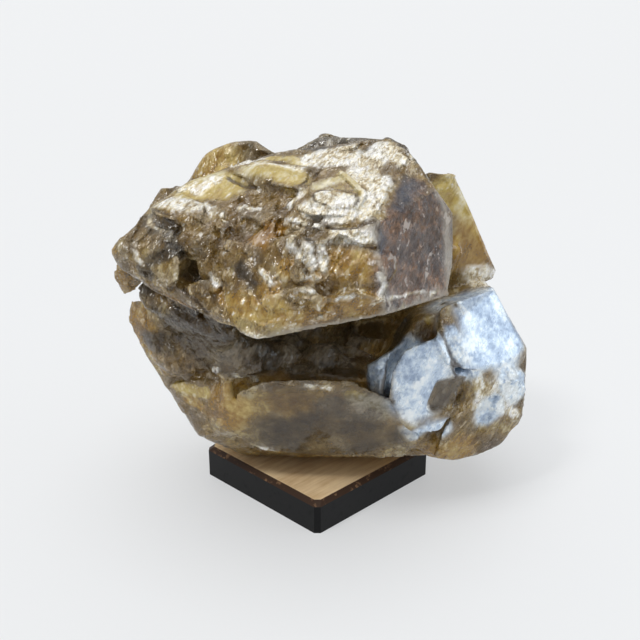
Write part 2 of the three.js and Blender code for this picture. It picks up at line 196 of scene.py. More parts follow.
# Narrow features of the display side. Each is a half-width and the points that it runs through.
STROKES = {
    "frost": [
        (2.1, (-32.5, -15, 75), (-26, -19.5, 75)),
        (1.2, (-14, -9, 82), (-9, -11.5, 83), (-4, -14.5, 82.5)),
        (1.7, (-25.5, -12, 77), (-22.5, -10, 78.5)), (1.1, (-29.5, -10.5, 76.5), (-27.5, -9.5, 77.5)),
        (1.1, (-18.5, -5, 80.5), (-12.5, -4.5, 82)),
        (2.3, (-2, -10, 83.5), (2.5, -10, 84.5), (7, -10, 85)),
        (1.6, (9, -12, 84), (15, -12, 84.5), (18, -13, 83.5)), (1.9, (1, -12, 83), (6, -13, 83.5)),
        (3.2, (14.5, -10.5, 85), (11, -13.5, 83.5), (9.5, -18.5, 81.5)),
        (2.2, (13, -21, 80.5), (11.5, -26, 78.5), (9, -30.5, 76.5)),
        (2.0, (7, -30.5, 76.5), (2.5, -30.5, 76.5), (-2, -28, 77)),
        (0.8, (-3, -22.5, 79), (-5.5, -24.5, 76.5)), (1.9, (0.8, -27.4, 79.4), (6.4, -28.2, 79.1)),
        # The next two strokes are painted highlights on the glossy lump above the lens.
        (0.7, (-20.5, -22.5, 37), (-18, -23, 37.5)), (0.6, (-16.5, -23.5, 37), (-15, -23.5, 37)),
        (0.6, (-5, -28.5, 74.5), (1, -32.5, 74.5)), (1.6, (4, -34, 73.5), (10, -35, 73)),
        (1.3, (31.5, 2, 75.5), (34.5, 2, 70.5)), (1.2, (5, -33.5, 71), (9, -34, 69.5)),
        (1.1, (-5, -35.5, 72.5), (-3.5, -37, 69.5)), (1.3, (-2, -36.5, 71.5), (-1.5, -37.5, 68)),
        (1.0, (1, -36.5, 71), (1.5, -37.5, 67.5)), (0.9, (-4, -37.5, 67.5), (-0.5, -38, 65.5)),
        (1.2, (3.5, -34.5, 73), (8, -36, 72.5)), (0.6, (-12, -23, 75.5), (-16, -20.5, 75)),
        (0.6, (-20, -21.5, 74), (-19, -24, 73.5)), (0.8, (-23.5, -17.5, 75), (-22.5, -21, 74)),
        (0.6, (-11, -36, 66.5), (-9, -38, 64.5)), (0.4, (-3, -40, 67), (-2.5, -41.5, 64.5)),
        (0.5, (-1.5, -41.5, 64), (2, -38, 63)), (0.5, (4, -41, 62.5), (6.5, -40.5, 62.5)),
        (0.4, (8.5, -39, 63), (9.5, -37.5, 63)),
        (0.6, (12, -37.5, 66), (13.5, -36.5, 63.5), (12.5, -39, 61.5), (11, -39, 60)),
        (0.5, (13.5, -38.5, 61), (16.5, -34.5, 60.5)), (0.4, (17.5, -34, 60.5), (24.5, -28.5, 59.5)),
        (0.7, (-14, -40.5, 55), (-11, -42, 54.5)), (0.4, (-5.5, -41.5, 56.5), (-4.5, -41.5, 57)),
        (0.4, (-1, -41, 58), (0.5, -41, 58.5)), (0.4, (0, -41.5, 60.5), (0, -41.5, 61)),
        (0.6, (20.5, -11.5, 84.5), (21, -13, 83.5)), (0.5, (17.5, -13.5, 84), (17, -16.5, 82.5)),
        (0.9, (16, -9, 86), (18, -10.5, 85.5)), (0.6, (-38.5, -22.5, 66.5), (-37, -24, 64.5)),
        (0.6, (-36, -17.5, 71.5), (-33.5, -20.5, 70.5)), (0.6, (-21.5, -31, 64), (-20, -34, 63)),
        (1.4, (45.5, -10, 32.5), (44, -10, 34)), (1.4, (40, -14, 29.5), (42.5, -12.5, 27.5)),
        (1.2, (47, -11, 22), (44, -12, 26.5)), (0.9, (19, -25.5, 30), (21, -24.5, 27.5)),
        (1.5, (36, -15.5, 34.5), (37.5, -15, 31), (37, -15.5, 27)), (0.9, (33, -16.5, 37), (31, -18, 40)),
        (1.5, (30.5, -18, 43), (31.5, -18, 40), (34.5, -16, 39)),
        (1.2, (33, -15.5, 43.5), (35.5, -15, 40.5)),
        (1.0, (24, -21.5, 37.5), (21.5, -23, 35.5), (20.5, -23.8, 32)),
        (0.9, (-20.5, -21, 40.5), (-23, -20, 37.5)), (0.7, (-18, -22.5, 37), (-14, -20, 35.5)),
        (0.7, (-2.5, -27, 37), (3, -26.5, 36.5)), (0.9, (-23.5, -18.5, 29), (-22, -19, 28.5)),
        (0.7, (-13, -18.5, 17), (-10.5, -18, 16)),
    ],
    "straw": [
        (3.0, (-13.5, -11, 81.5), (-8.5, -15, 82), (-4.5, -18, 80.5)),
        (1.2, (-11, -5, 82.5), (-6, -8, 83), (-3, -11.5, 82.5)), (0.8, *TABLET_RIM),
        (0.9, (-0.2, -24.1, 80.5), (2.7, -22.3, 81.3), (5.3, -21.4, 81.7)),
        (2.3, (30, 3.5, 75), (33, 3.5, 71.5), (35, 3.5, 68)),
        (1.3, (-28.5, -10.5, 77), (-23.5, -6.5, 79), (-20.5, -11.5, 78.5)),
        (1.6, (-33, -13.5, 30.5), (-25.5, -18.5, 31.5)), (1.6, (7.5, -25.5, 34), (15, -24.5, 31)),
        (1.1, (16.5, -35.5, 59), (26.5, -18.5, 47)), (1.2, (34.5, -13.5, 31.5), (37, -15.5, 31)),
        (0.9, (25, -14.5, 48), (26, -20, 45.5)),
    ],
    "honey": [
        (2.6, (-12, -31, 72), (-8.5, -29.5, 73)), (3.0, (4.5, -36.5, 68), (12, -36, 66.5)),
        (2.4, (-16, -37, 60), (-8, -40, 58), (2, -40, 60), (11, -38, 61)),
        (1.0, (4, -34, 69), (6, -33, 70)), (2.0, (-5.5, -38, 67.5), (0, -36, 65.5), (4.5, -35.5, 66)),
        (1.6, (9, -34.5, 66.5), (11, -37.5, 66)), (1.8, (1.5, -41, 60.5), (5.5, -40.5, 61.5)),
        (2.3, (-9.5, -38.5, 63), (-6, -41.5, 58.5)), (2.9, (35, 3.5, 64.5), (39, 3.5, 57.5)),
        (1.6, (31.5, -4, 49.5), (35, -10.5, 50.5)), (1.1, (-43.5, -20, 65.5)),
        (2.8, (-44, -13, 57.5), (-43, -11.5, 54)), (1.4, (-38.5, -11, 38.5), (-35.5, -12, 35)),
        (1.8, (-38, -12.5, 44.5), (-40.5, -10, 48)), (2.1, (-29.5, -14.5, 28), (-24.5, -17, 26.5)),
        (1.9, (28.5, -19, 16.5), (32.5, -17.5, 14.5)), (1.1, (24.5, -16, 79), (26, -19, 76.5)),
        (1.6, (-27.5, 6.5, 78), (-24, 6.5, 81.5)), (1.4, (-30, 8, 76.5), (-28.5, 7, 77.5)),
        (0.9, (-42, -18.5, 68.5)), (0.8, (-20.5, -34, 63), (-19, -35.5, 60)),
        (1.1, (-35, -20.5, 56.5), (-31.5, -23.5, 55.5)),
    ],
    # Partly the smoky crystal's own dark and partly painted shade in the recess and under the upper crystal's
    # overhang.
    "dark": [
        (1.5, (-27, -19, 64.5), (-26, -21.5, 61.5)), (1.7, (-35, -25.5, 65), (-29, -26, 67.5)),
        (1.7, (-32, -20.5, 71.5), (-28, -23, 69)), (1.5, (-16, -34.5, 67), (-13, -36.5, 64)),
        (1.3, (-2.5, -3.5, 84), (1, -7, 85)), (0.9, (5, 7, 84), (12.5, 7, 84.5), (17.5, -8, 86.5)),
        (1.3, (18.5, -9.5, 86), (21.5, -12, 83.5)), (0.8, (9.5, -10, 85), (15, -8.5, 86)),
        (1.2, (19, -18, 81), (17.5, -24, 78)), (0.6, (-4, -35, 72.5), (-3.5, -36.5, 71.5)),
        (0.6, (-1.5, -35, 73), (-1, -36.5, 72.5)), (0.8, (5.5, -33, 70.5), (7, -34.5, 72.5)),
        (2.9, (-33, -16.5, 48.5), (-25, -25, 48), (-18, -31, 50.5)),
        (2.7, (-32.5, -8, 36.5), (-24, -17, 39)), (3.0, (-38.5, -14.5, 56), (-27, -24.5, 54)),
        (2.3, (-19, -21, 43), (-12.5, -16, 40.5)),
        (4.3, (-4, -11.5, 40.5), (5.5, -4, 38.5), (12.5, -2, 39)),
        (2.7, (-4, -21, 37.5), (7.5, -18.5, 37)), (4.0, (-10, -21, 24), (0, -22, 24), (9, -22, 23)),
        (2.7, (-38.5, -12, 41.5), (-34.5, -14.5, 41.5)), (1.3, (-37, -24.5, 63), (-35, -26, 62)),
        (0.7, (31.5, -12.5, 50.5), (29.5, -7, 49)),
    ],
    # Painted blue-white reflection on a glossy plate.
    "pearl": [
        (2.4, (30, -17.5, 45), (30.5, -18.7, 41.5)),
    ],
    "amber": [
        (2.3, (-11.5, -30.5, 72.5), (-8.5, -30, 73)), (1.3, (-11, -32.5, 71), (-9.5, -33.5, 70)),
        (1.3, (-31, -27, 57.5), (-26, -31, 57)), (0.9, (-26, -26.5, 60.5), (-23, -30, 61)),
    ],
    "grey": [
        (1.7, (11.5, -33, 75.5), (12, -34, 73.5)), (1.8, (-31, -23.5, 69.5), (-28.5, -25, 66.5)),
        (2.0, (-36, -17.5, 72), (-33, -21, 70)),
    ],
    "ink": [
        (1.5, (19.5, -20, 80.5), (18, -23, 78), (16.5, -26.5, 76.5)),
        (2.4, (-26.5, -21.5, 64), (-26.5, -23, 61.5)), (1.0, (13.5, -33.5, 73), (12.5, -35, 70.5)),
    ],
    "dark_face": [
        (2.4, (21, -19, 79.5), (18, -23, 77.5), (14.5, -29.5, 74)),
        (1.8, (24.5, -19.5, 77), (20, -24, 75.5)),
    ],
    "crack": [
        (1.2, (-27, -19.5, 64), (-26.5, -21.5, 61.5)),
        (0.4, (-36, -16, 74), (-31, -20, 74), (-28, -19, 72), (-25, -22, 72)),
        # This crack runs under the blade's overhanging lower edge; its dark colour is partly painted shadow.
        (0.4, (-19.5, -10, 79), (-15.5, -14.5, 78.5), (-11.5, -16.5, 78), (-6.5, -19, 78.5)),
        (0.3, (0, -15.5, 81.5), (-3.5, -21, 80), (-6, -23, 77.5), (-7, -24.5, 76)),
        (0.4, (-1.5, -25, 74), (2.5, -32.5, 74.5), (7, -34, 75), (11.5, -32.5, 75.5)),
        (0.4, (-1.5, -32, 74.5), (4, -32.5, 71), (6.5, -33, 70)),
        (0.3, (-1, -26.5, 79.7), (0.5, -25.4, 80.2), (3.9, -25, 80.4), (8.1, -26.2, 79.8),
         (8.3, -28.4, 78.8)),
        (0.3, (8.3, -28.4, 78.8), (6.9, -30.8, 77.7), (2.6, -30.3, 77.9), (-0.8, -28.4, 78.8),
         (-1, -26.5, 79.7)),
        (0.4, (-31, -28.5, 60), (-28.5, -30.5, 61), (-25, -33, 59), (-22.5, -34.5, 57)),
        (0.5, (26, -12, 50), (27, -18.5, 47), (30, -19.5, 40), (32.5, -18.5, 37), (36, -16.5, 35.5)),
        (0.6, (16, -20.5, 45.5), (15.5, -23.5, 40.5), (14.5, -23.5, 34), (16.5, -26.5, 33)),
        (0.5, (30, -20, 39.5), (32, -17.5, 34.5), (31.5, -18.5, 29.5), (29.5, -19, 24)),
        (0.4, (-28.5, -16.5, 40.5), (-27, -16, 35.5), (-23, -20, 37), (-21, -21, 41)),
    ],
    # Crisp edges, lightened as a painted highlight; the wide one at the dark face's right end is also a grey
    # strip.
    "edge": [
        (0.5, (-12, -42, 54), (-3.5, -41, 56), (2.5, -40, 56.5), (13.5, -38.5, 58), (28.5, -26, 58)),
        (0.5, (25, -19, 78.5), (28, -18.5, 73.5)),
        (1.5, (27.8, -20, 72.5), (28.0, -22.5, 66), (27.8, -25.5, 59.5)),
        (0.5, (-43, -20.5, 62), (-34, -24, 57.5), (-23.5, -32, 56), (-12, -42, 54)),
        (0.6, (11, -34, 74.5), (12, -35.5, 69), (13.5, -37.5, 63.5), (13.5, -38.5, 59.5)),
    ],
}

# Where weathering has rounded the crystals, given as the broad regions are.
ROUNDED = [
    ((2, 9, 84), (13, 11, 8)),
    ((-25, 8, 79), (12, 11, 9)),
    ((0, -10, 26), (60, 50, 24)),
    ((36, 3, 62), (8, 10, 13)),
    ((-44, -12, 55), (6, 9, 8)),
]
# Where the breaks are shallow.
QUIET = [
    ((3.5, -25, 78.5), (8, 7, 4)),
    ((-8.5, -14.5, 81), (9, 6.5, 4)),
    ((-29, -18, 74), (8, 7, 3)),
    ((3, 10, 84), (13, 11, 6)),
    ((-25, 9, 80), (12, 11, 8)),
]
# Where growths and peaks are worn into one smooth surface.
POLISHED = [
    ((-27, -20, 43), (14, 14, 7)),
    ((-21, -19, 29), (6, 6, 12)),
    ((2, 9, 84), (10, 9, 6)),
    ((1.5, 20, 86), (8, 9, 6)),
    ((-25, 8, 80), (10, 9, 7)),
]
# Where larger pieces have broken off.
SHATTERED = [
    ((-14, -33, 68), (26, 14, 9)),
    ((-8, -14, 78), (14, 12, 5)),
    ((-36, -21, 67), (10, 9, 8)),
    ((-31, -20, 54), (12, 10, 6)),
]
# Where the surface swells into soft lumps.
LUMPY = [
    ((-37, -20, 67), (10, 9, 9)),
    ((-43, -14, 56), (5, 7, 6)),
]

# Peaks that weather lowered: by how much, in millimetres, and where.
LOWERED = [(1.3, (1.5, 20.5, 85.5), (9, 9, 4.5))]

# Thin layers that stand proud of the broken face: a height, a half-width and the points of each.
PROUD = [
    (0.5, 0.7, *TABLET_RIM),
    (0.5, 1.5, (-9.5, -39.5, 61), (-5, -41, 62), (3, -41, 61)),
]
# Rounded growths and shells on the solid. Each has its two tips, its half-width, its half-height and the
# way that its top looks.
FORWARD = (-0.10, -0.75, 0.66)
UPWARD = (-0.10, -0.35, 0.93)
GROWTHS = [
    ((-15.5, -9.5, 80.6), (-1.5, -19.5, 78.8), 4.3, 2.5, UPWARD),
    ((-35.5, -14, 73), (-23.5, -22.5, 72.3), 3.0, 2.0, UPWARD),
    ((-8.5, -27.5, 71.6), (1.5, -29, 74), 2.4, 2.0, FORWARD),
    ((-5.5, -35.2, 73), (-0.5, -36, 70), 1.9, 1.6, FORWARD),
    ((-4.5, -35.5, 70), (1.5, -36, 67), 2.1, 1.8, FORWARD),
    ((-0.5, -35.2, 71.5), (4.5, -35, 68.5), 1.8, 1.5, FORWARD),
    ((-3.5, -33.6, 67.6), (16, -33.2, 66.6), 6.8, 3.9, FORWARD),
    ((-33, -22, 71), (-29.5, -22, 60.5), 4.6, 4.2, FORWARD),
    ((-30, -21.5, 68), (-19.5, -27, 69), 3.4, 3.2, FORWARD),
    ((-22, -26, 69), (-22, -28, 60.5), 2.7, 3.2, FORWARD),
    ((-36, -14, 52), (-24, -24, 50), 4.0, 4.0, FORWARD),
    ((-39, -15.5, 55), (-26, -25, 52.5), 3.4, 3.2, FORWARD),
    ((-28, -23.5, 52), (-17, -30, 50.5), 3.4, 3.4, FORWARD),
    ((-39, -6.5, 40.5), (-26, -15, 36), 5.4, 4.6, FORWARD),
    ((-25, -13, 43), (-30, -12, 35), 4.4, 4.4, FORWARD),
    ((-26, -17.5, 42), (-10, -19, 40.5), 5.0, 5.6, FORWARD),
    ((-14, -16, 39), (-3.5, -15.5, 38.5), 4.4, 4.4, FORWARD),
    ((-4.5, -15.5, 38), (6, -14, 38.5), 3.8, 4.0, FORWARD),
    ((-20, -21.5, 36), (-20.3, -16.5, 18), 2.4, 2.6, FORWARD),
    ((-23, -18.5, 35), (-22.8, -15.5, 19), 2.8, 3.0, FORWARD),
    ((30, -16.8, 35), (45, -8.6, 34.4), 1.6, 1.7, FORWARD),
    ((31, 8.5, 47.2), (31, 19.5, 47), 3.4, 7.5, (0.9, 0, 0.3)),
    ((30, 17.5, 48), (30, 25, 48), 2.8, 4.0, (0.9, 0, 0.3)),
    ((-36, -11, 54.5), (-35.5, 2, 54.5), 4.2, 4.2, (-1, 0, 0)),
    ((-38, -11, 55), (-26, -23, 56.5), 3.4, 3.2, FORWARD),
]
# Flat tablets on the front crystal, one on the other. Each is the outline of its top.
TABLETS = [
    [(4.8, -19.1, 82.7), (6.9, -21.5, 81.5), (9.8, -25.5, 79.7), (7.4, -30.1, 77.6), (1.6, -29.4, 77.9),
     (-1.2, -28.3, 78.4), (-1.6, -24.8, 80.0), (-1.2, -22.7, 81.0), (1.6, -20.6, 82.0)],
    [(-1.0, -26.5, 79.7), (0.5, -25.4, 80.2), (3.9, -25.0, 80.4), (8.1, -26.2, 79.8), (8.3, -28.4, 78.8),
     (6.9, -30.4, 77.9), (2.6, -30.0, 78.1), (-0.8, -28.4, 78.8)],
]
TABLET_DEPTH = 3.0

# The shallow dark hollow between the glossy plates: its rim, the way that its floor looks and its depth.
HOLLOW_RIM = [
    (26.0, -21.2, 35.3), (27.0, -20.5, 36.8), (30.9, -18.8, 35.6), (33.9, -17.5, 34.9), (35.1, -16.2, 33.1),
    (33.7, -17.2, 31.1), (31.4, -18.1, 29.7), (30.9, -19.3, 28.2), (29.5, -20.5, 27.1), (26.0, -22.3, 28.5),
    (24.6, -22.5, 31.6),
]
HOLLOW_FACING = (0.473, -0.873, 0.121)
HOLLOW_DEPTH = 1.1
HOLLOW_FILL = 5  # how thick the floor is

# How far the borders of the finishes stray and over what length, in millimetres.
PATCH_STRAY = (2.4, 7.0)
STROKE_STRAY = (0.8, 2.4)
CRISP = {"straw": 0.35, "crack": 0.3, "edge": 0.3}  # the share of that which the crisper finishes have

# The back has the same finishes in streaks of its own. Each has its size, the level above which it shows
# (from -1 to 1) and how strong it is.
BACK = {
    "frost": (9, 0.24, 0.7),
    "honey": (15, 0.05, 0.8),
    "dark": (13, 0.15, 0.7),
    "straw": (11, 0.28, 0.7),
    "gloss": (14, 0.10, 0.8),
    "grey": (12, 0.25, 0.6),
}
BACK_DEPTH = (6, 14)  # where they start and are full, along Y

# The flat dark face at the right end of the front crystal: its outward direction and where it is.
DARK_FACE = {"facing": (0.60, -0.76, 0.25), "centre": (20, -28, 68), "reach": (13, 14, 20)}


def strayed(points, reach, length, channel):
    """The points, shifted by noise, so that what is measured from them gets a ragged border."""
    stray = [layered_noise(points, length, channel + 5 * axis) for axis in range(3)]
    return points + reach * np.stack(stray, axis=1)


def patch_mask(places, patches, softness=0.4):
    """1 inside the patches and 0 outside."""
    depth = np.full(len(places), -np.inf)
    for centre, reach in patches:
        depth = np.maximum(depth, 1 - np.linalg.norm((places - centre) / np.array(reach), axis=1))
    return blend_step(depth, -softness / 2, softness / 2)


def stroke_mask(places, strokes):
    """1 on the strokes and 0 away from them."""
    mask = np.zeros(len(places))
    for half_width, *path in strokes:
        path = np.array(path, float)
        margin = 2 * half_width + 0.5
        near = np.all((places > path.min(0) - margin) & (places < path.max(0) + margin), axis=1)
        local = places[near]
        away = np.linalg.norm(local - path[0], axis=1)
        for start, end in itertools.pairwise(path):
            along = end - start
            part = np.clip((local - start) @ along / max(along @ along, 1e-6), 0, 1)
            away = np.minimum(away, np.linalg.norm(local - start - part[:, None] * along, axis=1))
        mask[near] = np.maximum(mask[near], 1 - blend_step(away, 0.7 * half_width, 1.3 * half_width + 0.1))
    return mask


def hollow_mask(places):
    """1 on the floor of the hollow and 0 outside its rim."""
    rim = np.array(HOLLOW_RIM)
    facing = np.array(HOLLOW_FACING)
    below = (rim.mean(axis=0) - places) @ facing
    inside = np.full(len(places), np.inf)
    for start, end in itertools.pairwise([*rim, rim[0]]):
        inward = np.cross(end - start, facing)
        inside = np.minimum(inside, (places - start) @ inward / np.linalg.norm(inward))
    return blend_step(inside, -0.4, 0.2) * blend_step(below, 0.3, 0.6) * (below < 4)


def proud_height(places):
    """How far the thin layers stand proud at each point, in millimetres."""
    height = np.zeros(len(places))
    for thickness, *stroke in PROUD:
        layer = blend_step(stroke_mask(places, [stroke]), 0.3, 0.7)
        height = np.maximum(height, thickness * layer)
    return height


def finish_masks(points, normals):
    """How much of each finish there is at each point, from 0 to 1."""
    broad = strayed(points, *PATCH_STRAY, 40)
    narrow = strayed(points, *STROKE_STRAY, 60)
    masks = {name: patch_mask(broad, PATCHES.get(name, [])) for name in PATCHES | STROKES}
    for name, strokes in STROKES.items():
        places = points + CRISP.get(name, 1.0) * (narrow - points)
        masks[name] = np.maximum(masks[name], stroke_mask(places, strokes))
    behind = blend_step(points[:, 1], *BACK_DEPTH)
    streaked = points @ frame_of(UPPER_GRAIN).T / (2.2, 1, 1)
    for channel, (name, (size, level, strength)) in enumerate(BACK.items()):
        streak = blend_step(layered_noise(streaked, size, 400 + 20 * channel), level - 0.06, level + 0.10)
        masks[name] = np.maximum(masks[name], strength * behind * streak)
    facing = normals @ np.array(DARK_FACE["facing"])
    away = np.linalg.norm((points - DARK_FACE["centre"]) / np.array(DARK_FACE["reach"]), axis=1)
    flat = blend_step(facing, 0.80, 0.92) * (1 - blend_step(away, 0.9, 1.1))
    masks["dark_face"] = np.maximum(masks["dark_face"], flat)
    hollow = hollow_mask(points)
    masks["grey"] = np.maximum(masks["grey"], hollow)
    masks["gloss"] = np.maximum(masks["gloss"], hollow)
    for name in ("pearl", "frost", "crack", "straw"):
        masks[name] = masks[name] * (1 - hollow)
    return masks


# ---------- the barite ----------

VOXEL = 0.45
MOST_TRIANGLES = 190_000

# How the crystals are grown: the way that their broken faces are streaked and the way that they look.
UPPER_GRAIN = ((-0.40, -0.60, -0.70), (-0.10, -0.75, 0.66))
LOWER_GRAIN = ((0.77, 0.64, 0.0), (0.602, -0.724, 0.337))
BETWEEN_CRYSTALS = 52  # the height that parts them
CRACK_DEPTH = 0.3
WAVE_DEPTH = 0.22  # of the soft waves in the lower crystals
WAVE_LENGTH = 5.0
LUMP_DEPTH = 0.9
WEAR = (0.6, 10)  # how far each round draws a point towards its neighbours, and the number of rounds
POLISH = (0.7, 45)
UPPER_BREAKS = 0.8
LOWER_BREAKS = 0.3
EDGE_GUARD = 1.6  # how far from a crystal's edge its breaks fade
EDGE_CALM = 0.85
QUIET_CALM = 0.8
CALM = {"gloss": 0.95, "dark_face": 0.85, "straw": 0.5, "amber": 0.7}  # how far each finish smooths them


def frame_of(grain):
    """A crystal's axes as the rows of a matrix: along its streaks, across them and out of its face."""
    along, facing = (Vector(direction).normalized() for direction in grain)
    across = facing.cross(along).normalized()
    return np.array((along, across, along.cross(across)))


def add_slab(shape, outline, down):
    """Adds a convex slab with that outline to the shape. The slab reaches down from the outline."""
    corners = [Vector(corner) for corner in outline]
    corners += [corner + down for corner in corners]
    bmesh.ops.convex_hull(shape, input=[shape.verts.new(corner * MM) for corner in corners])


def add_growths(mesh):
    """Adds the growths, the tablets and the hollow's floor to the mesh, as closed shapes that overlap."""
    shape = bmesh.new()
    shape.from_mesh(mesh)
    for start, end, half_width, half_height, looking in GROWTHS:
        start, end = Vector(start) * MM, Vector(end) * MM
        along = end - start
        axes = Matrix(frame_of((along, looking)).T.tolist()).to_4x4()
        sizes = Matrix.Diagonal((along.length / 2, half_width * MM, half_height * MM, 1))
        place = Matrix.Translation((start + end) / 2) @ axes @ sizes
        bmesh.ops.create_icosphere(shape, subdivisions=4, radius=1, matrix=place)
    for outline in TABLETS:
        add_slab(shape, outline, Vector(UPWARD).normalized() * -TABLET_DEPTH)
    sunk = Vector(HOLLOW_FACING) * -HOLLOW_DEPTH
    add_slab(shape, [Vector(corner) + sunk for corner in HOLLOW_RIM], Vector(HOLLOW_FACING) * -HOLLOW_FILL)
    shape.to_mesh(mesh)
    shape.free()


def remeshed(node):
    """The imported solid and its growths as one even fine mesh."""
    source = bpy.data.objects.new("source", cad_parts[node].data.copy())
    add_growths(source.data)
    bpy.context.scene.collection.objects.link(source)
    remesh = source.modifiers.new("even", "REMESH")
    remesh.mode = "VOXEL"
    remesh.voxel_size = VOXEL * MM
    graph = bpy.context.evaluated_depsgraph_get()
    mesh = bpy.data.meshes.new_from_object(source.evaluated_get(graph))
    bpy.data.objects.remove(source)
    return mesh


def read(rows, key, width, kind=float):
    """One value of each row of a mesh, as an array of that width."""
    values = np.zeros(width * len(rows), kind)
    rows.foreach_get(key, values)
    return values.reshape(-1, width)


def worn(points, edges, share, rounds):
    """The points drawn towards the middle of their neighbours, which rounds what was sharp."""
    start, end = edges.T
    count = np.bincount(edges.ravel(), minlength=len(points))
    for _ in range(rounds):
        for axis in range(3):
            along = points[:, axis]
            total = np.bincount(start, along[end], len(points))
            total = total + np.bincount(end, along[start], len(points))
            points[:, axis] = along + share * (total / count - along)
    return points


def chip_relief(local, size, depth, tilt, channel, crack=0.0, cracked=0.3):
    """How far each point moves along its normal where the surface is broken into small flat chips, and each
    chip's own level, from -1 to 1. The points are in the crystal's own frame."""
    cell, offset, border = chips(local, np.array(size), channel)
    lean = np.stack([2 * hashed(cell, channel + 10 + axis) - 1 for axis in range(3)], axis=1)
    level = 2 * hashed(cell, channel + 20) - 1
    relief = depth * level + tilt * np.einsum("ij,ij->i", offset, lean)
    open_cracks = (hashed(cell, channel + 25) < cracked) * (1 - blend_step(border, 0.0, 0.14))
    return relief - crack * open_cracks, level


def stair(values, step, sharpness):
    """Turns a ramp into stairs with that step."""
    scaled = values / step
    low = np.floor(scaled)
    return step * (low + np.clip((scaled - low - 0.5) * sharpness + 0.5, 0, 1))


def cleave(local, strength, channel):
    """Draws the points towards planes that are parallel to the crystal's cleavage, in some places more than
    in others."""
    patchy = blend_step(smooth_noise(local, 8, channel + 9), -0.1, 0.5)
    for axis, step in enumerate((2.3, 1.7, 1.1)):
        shift = 1.5 * step * layered_noise(local, 12, channel + 3 * axis, layers=2)
        stepped = stair(local[:, axis] + shift, step, 3) - shift
        local[:, axis] += strength * patchy * (stepped - local[:, axis])
    return local


def broken(points, normals, rough, frost, shattered, axes, channel):
    """The points of one crystal's surface, moved to where its breaks put them, and a shade for each."""
    local = points @ axes.T
    pieces, piece_level = chip_relief(
        local, size=(6, 4.5, 4), depth=0.32, tilt=0.10, channel=channel + 200, crack=0.35, cracked=0.25
    )
    coarse, coarse_level = chip_relief(
        local, size=(12, 8, 7), depth=0.22, tilt=0.05, channel=channel, crack=0.3, cracked=0.15
    )
    medium, medium_level = chip_relief(
        local, size=(5, 2.6, 2.4), depth=0.14, tilt=0.07, channel=channel + 30
    )
    fine, fine_level = chip_relief(local, size=(2.2, 1.0, 1.0), depth=0.06, tilt=0.14, channel=channel + 60)
    pieces = shattered * (1 - 0.7 * frost) * pieces
    relief = rough * (coarse + pieces + 0.5 * medium + (0.3 + 0.3 * frost) * fine)
    local += (normals @ axes.T) * relief[:, None]
    shade = 0.3 * coarse_level + 0.3 * piece_level + 0.25 * medium_level + 0.15 * fine_level
    return cleave(local, 0.5 * rough, channel + 95) @ axes, shade


def weathered(points, edges):
    """The points with the peaks lowered and the weathered parts rounded."""
    for drop, centre, reach in LOWERED:
        points[:, 2] -= drop * patch_mask(points, [(centre, reach)], 1.4)
    for (share, rounds), patches in ((WEAR, ROUNDED), (POLISH, POLISHED)):
        points = worn(points, edges, share * patch_mask(points, patches, 0.6), rounds)
    return points


def break_depth(points, masks, upper):
    """How deep the breaks are at each point, from 0 to 1."""
    calm = np.ones(len(points))
    for name, share in CALM.items():
        calm = calm * (1 - share * masks[name])
    guards = [(half_width + EDGE_GUARD, *path) for half_width, *path in STROKES["edge"]]
    guarded = stroke_mask(points, guards)
    quiet = 1 - QUIET_CALM * patch_mask(points, QUIET, 0.3)
    rough = np.where(upper, UPPER_BREAKS, LOWER_BREAKS) * calm
    return np.maximum(rough, masks["frost"] * (1 - masks["gloss"])) * (1 - EDGE_CALM * guarded) * quiet


def break_surface(mesh):
    """Breaks the frosted parts into chips and steps, and leaves the glossy faces nearly flat. Writes the
    finishes on the mesh for the material to read."""
    points = read(mesh.vertices, "co", 3) / MM
    normals = read(mesh.vertex_normals, "vector", 3)
    points = weathered(points, read(mesh.edges, "vertices", 2, np.int32))
    masks = finish_masks(points, normals)
    upper = points[:, 2] > BETWEEN_CRYSTALS
    rough = break_depth(points, masks, upper)
    shattered = patch_mask(points, SHATTERED, 0.5) * (1 - 0.9 * masks["straw"])
    waves = WAVE_DEPTH * ~upper + LUMP_DEPTH * patch_mask(points, LUMPY, 0.8)
    swell = proud_height(points) + waves * layered_noise(points, WAVE_LENGTH, 90)
    points += normals * swell[:, None]
    masks["shade"] = np.zeros(len(points))
    for part, grain, channel in ((upper, UPPER_GRAIN, 100), (~upper, LOWER_GRAIN, 300)):
        points[part], masks["shade"][part] = broken(
            points[part], normals[part], rough[part], masks["frost"][part], shattered[part],
            frame_of(grain), channel,
        )
    points -= normals * (CRACK_DEPTH * masks["crack"])[:, None]
    mesh.vertices.foreach_set("co", (points * MM).ravel())
    mesh.update()
    for name, values in masks.items():
        layer = mesh.attributes.new(name, "FLOAT", "POINT")
        layer.data.foreach_set("value", values.astype(np.float32))


def barite():
    mesh = remeshed("barite_crystals")
    break_surface(mesh)
    piece = bpy.data.objects.new("barite", mesh)
    bpy.context.scene.collection.objects.link(piece)
    triangles = 2 * len(mesh.polygons)
    if triangles > MOST_TRIANGLES:
        thin = piece.modifiers.new("thin", "DECIMATE")
        thin.ratio = MOST_TRIANGLES / triangles
        graph = bpy.context.evaluated_depsgraph_get()
        piece.data = bpy.data.meshes.new_from_object(piece.evaluated_get(graph))
        piece.modifiers.clear()
    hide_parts("barite_crystals")
    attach(piece, "root")
    return piece


# ---------- shader maths ----------


